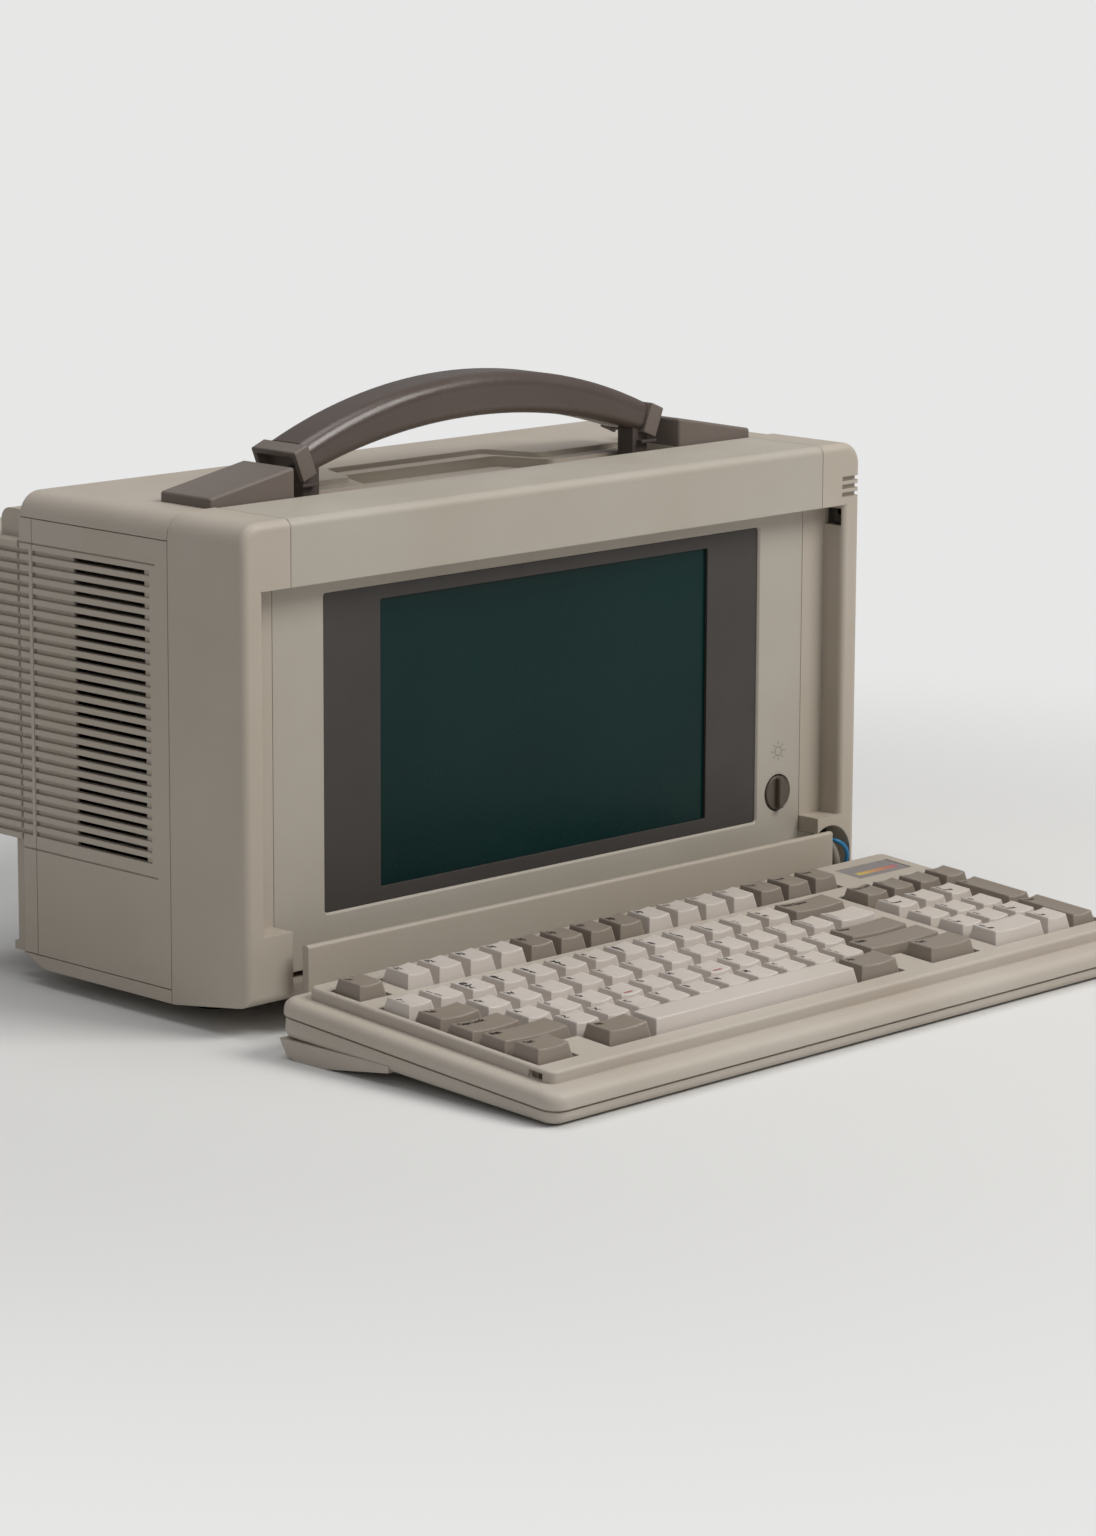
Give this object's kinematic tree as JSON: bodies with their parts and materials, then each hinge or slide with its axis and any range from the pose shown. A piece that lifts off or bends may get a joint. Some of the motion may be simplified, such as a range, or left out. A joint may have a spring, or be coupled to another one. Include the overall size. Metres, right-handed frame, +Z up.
{
  "type": "luggable computer",
  "caption": "Portable computer with a display module that rises and tilts in its front, an arched carrying handle, louvred sides and a detachable keyboard on a curly cord",
  "frame": {"origin": "middle of the footprint of case and keyboard, on the floor", "axes": "+X to the right of someone who sits at the keyboard, +Y to the back of the machine, +Z up"},
  "size_m": [0.4198, 0.418, 0.276],
  "materials": {
    "case_beige": "fine moulded texture, yellowed",
    "handle_beige": "fine moulded texture, worn",
    "collar_grey": "fine moulded texture",
    "keyboard_beige": "fine moulded texture",
    "rubber_black": "matt",
    "steel_sheet": "zinc plated",
    "aluminium_cast": "plain",
    "steel_bright": "nickel plated",
    "dark_plastic": "fine texture",
    "rear_plate_paint": "powder coated",
    "bay_plastic": "moulded",
    "grey_plastic": "moulded",
    "display_glass": "anti-glare filter",
    "plasma_glass": "dark panel",
    "board_green": "solder resist",
    "key_light": "fine texture, tops polished by use",
    "key_taupe": "fine texture",
    "cord_grey": "smooth jacket"
  },
  "bodies": {
    "case": {"base_pan": "case_beige", "chassis_frame": "steel_sheet", "connector_panel": "bay_plastic", "cord_grommet": "rubber_black", "data_connectors": "steel_bright", "expansion_board": "board_green", "expansion_rear_plate": "rear_plate_paint", "expansion_shell": "case_beige", "fan_housing": "dark_plastic", "floppy_bezel": "case_beige", "floppy_drive": "aluminium_cast", "front_frame": "case_beige", "handle_collars": "collar_grey", "handle_end_caps": "case_beige", "handle_grip": "handle_beige", "handle_posts": "case_beige", "hard_drive": "aluminium_cast", "keyboard_cord": "cord_grey", "keyboard_cord_coil": "cord_grey", "left_side_panel": "case_beige", "main_board": "board_green", "power_inlet": "dark_plastic", "power_supply": "aluminium_cast", "rear_shell": "case_beige", "right_side_panel": "case_beige", "rubber_feet": "rubber_black", "thumb_screws": "steel_bright", "top_cover": "case_beige"},
    "latch_button": {"latch_button": "case_beige"},
    "latch_hook": {"latch_hook": "steel_bright"},
    "fan_rotor": {"fan_rotor": "dark_plastic"},
    "floppy_lever": {"floppy_lever": "dark_plastic"},
    "power_switch": {"power_switch": "dark_plastic"},
    "display_carriage": {"display_carriage": "steel_sheet"},
    "display": {"display_housing": "case_beige", "display_bezel": "dark_plastic", "display_glass": "display_glass", "plasma_panel": "plasma_glass", "display_rear_cover": "grey_plastic", "tilt_pins": "steel_bright"},
    "brightness_knob": {"brightness_knob": "case_beige"},
    "keyboard": {"keyboard_top_shell": "keyboard_beige", "keyboard_bottom_shell": "keyboard_beige", "keyboard_feet": "keyboard_beige", "cord_strain_relief": "keyboard_beige", "key_plate": "steel_sheet", "keyboard_board": "board_green"},
    "function_keys_light": {"function_keys_light": "key_light"},
    "function_keys_grey": {"function_keys_grey": "key_taupe"},
    "number_row_keys": {"number_row_keys": "key_light"},
    "top_letter_keys": {"top_letter_keys": "key_light"},
    "home_letter_keys": {"home_letter_keys": "key_light"},
    "bottom_letter_keys": {"bottom_letter_keys": "key_light"},
    "left_edge_keys": {"left_edge_keys": "key_taupe"},
    "right_edge_keys": {"right_edge_keys": "key_taupe"},
    "control_keys": {"control_keys": "key_taupe"},
    "space_bar": {"space_bar": "key_light"},
    "keypad_digit_keys": {"keypad_digit_keys": "key_light"},
    "keypad_grey_keys": {"keypad_grey_keys": "key_taupe"}
  },
  "joints": [
    {"name": "display_raise", "type": "slide", "parent": "case", "child": "display_carriage", "axis": [0, 0, 1], "range_m": [0, 0.045]},
    {"name": "display_tilt", "type": "hinge", "parent": "display_carriage", "child": "display", "pos_m": [0.00064, 0.03118, 0.224], "axis": [-1, 0, 0], "range_deg": [0, 5]},
    {"name": "brightness_turn", "type": "hinge", "parent": "display", "child": "brightness_knob", "pos_m": [0.15939, 0.00148, 0.0595], "axis": [0, 1, 0], "range_deg": [-135, 135]},
    {"name": "keyboard_away", "type": "slide", "parent": "case", "child": "keyboard", "axis": [0.0147, -0.9999, 0], "range_m": [0, 0.08]},
    {"name": "latch_press", "type": "slide", "parent": "case", "child": "latch_button", "axis": [-1, 0, 0], "range_m": [0, 0.0025], "stiffness_N_per_m": 400, "springref_m": -0.001},
    {"name": "latch_hook_slide", "type": "slide", "parent": "case", "child": "latch_hook", "axis": [0, 1, 0], "range_m": [0, 0.002]},
    {"name": "fan_spin", "type": "hinge", "parent": "case", "child": "fan_rotor", "pos_m": [-0.18636, 0.08868, 0.112], "axis": [1, 0, 0], "continuous": true},
    {"name": "floppy_lever_turn", "type": "hinge", "parent": "case", "child": "floppy_lever", "pos_m": [0.20364, 0.07543, 0.092], "axis": [1, 0, 0], "range_deg": [0, 90]},
    {"name": "power_rocker", "type": "hinge", "parent": "case", "child": "power_switch", "pos_m": [-0.10436, 0.15398, 0.042], "axis": [1, 0, 0], "range_deg": [0, 14]},
    {"name": "function_keys_light_press", "type": "slide", "parent": "keyboard", "child": "function_keys_light", "axis": [-0.0011, 0.0757, -0.9971], "range_m": [0, 0.0032], "stiffness_N_per_m": 400, "springref_m": -0.003},
    {"name": "function_keys_grey_press", "type": "slide", "parent": "keyboard", "child": "function_keys_grey", "axis": [-0.0011, 0.0757, -0.9971], "range_m": [0, 0.0032], "stiffness_N_per_m": 400, "springref_m": -0.003},
    {"name": "number_row_keys_press", "type": "slide", "parent": "keyboard", "child": "number_row_keys", "axis": [-0.0011, 0.0757, -0.9971], "range_m": [0, 0.0032], "stiffness_N_per_m": 400, "springref_m": -0.003},
    {"name": "top_letter_keys_press", "type": "slide", "parent": "keyboard", "child": "top_letter_keys", "axis": [-0.0011, 0.0757, -0.9971], "range_m": [0, 0.0032], "stiffness_N_per_m": 400, "springref_m": -0.003},
    {"name": "home_letter_keys_press", "type": "slide", "parent": "keyboard", "child": "home_letter_keys", "axis": [-0.0011, 0.0757, -0.9971], "range_m": [0, 0.0032], "stiffness_N_per_m": 400, "springref_m": -0.003},
    {"name": "bottom_letter_keys_press", "type": "slide", "parent": "keyboard", "child": "bottom_letter_keys", "axis": [-0.0011, 0.0757, -0.9971], "range_m": [0, 0.0032], "stiffness_N_per_m": 400, "springref_m": -0.003},
    {"name": "left_edge_keys_press", "type": "slide", "parent": "keyboard", "child": "left_edge_keys", "axis": [-0.0011, 0.0757, -0.9971], "range_m": [0, 0.0032], "stiffness_N_per_m": 400, "springref_m": -0.003},
    {"name": "right_edge_keys_press", "type": "slide", "parent": "keyboard", "child": "right_edge_keys", "axis": [-0.0011, 0.0757, -0.9971], "range_m": [0, 0.0032], "stiffness_N_per_m": 400, "springref_m": -0.003},
    {"name": "control_keys_press", "type": "slide", "parent": "keyboard", "child": "control_keys", "axis": [-0.0011, 0.0757, -0.9971], "range_m": [0, 0.0032], "stiffness_N_per_m": 400, "springref_m": -0.003},
    {"name": "space_bar_press", "type": "slide", "parent": "keyboard", "child": "space_bar", "axis": [-0.0011, 0.0757, -0.9971], "range_m": [0, 0.0032], "stiffness_N_per_m": 400, "springref_m": -0.003},
    {"name": "keypad_digit_keys_press", "type": "slide", "parent": "keyboard", "child": "keypad_digit_keys", "axis": [-0.0011, 0.0757, -0.9971], "range_m": [0, 0.0032], "stiffness_N_per_m": 400, "springref_m": -0.003},
    {"name": "keypad_grey_keys_press", "type": "slide", "parent": "keyboard", "child": "keypad_grey_keys", "axis": [-0.0011, 0.0757, -0.9971], "range_m": [0, 0.0032], "stiffness_N_per_m": 400, "springref_m": -0.003}
  ],
  "couplings": [
    {"joint": "latch_hook_slide", "follows": "latch_press", "ratio": 0.8}
  ]
}
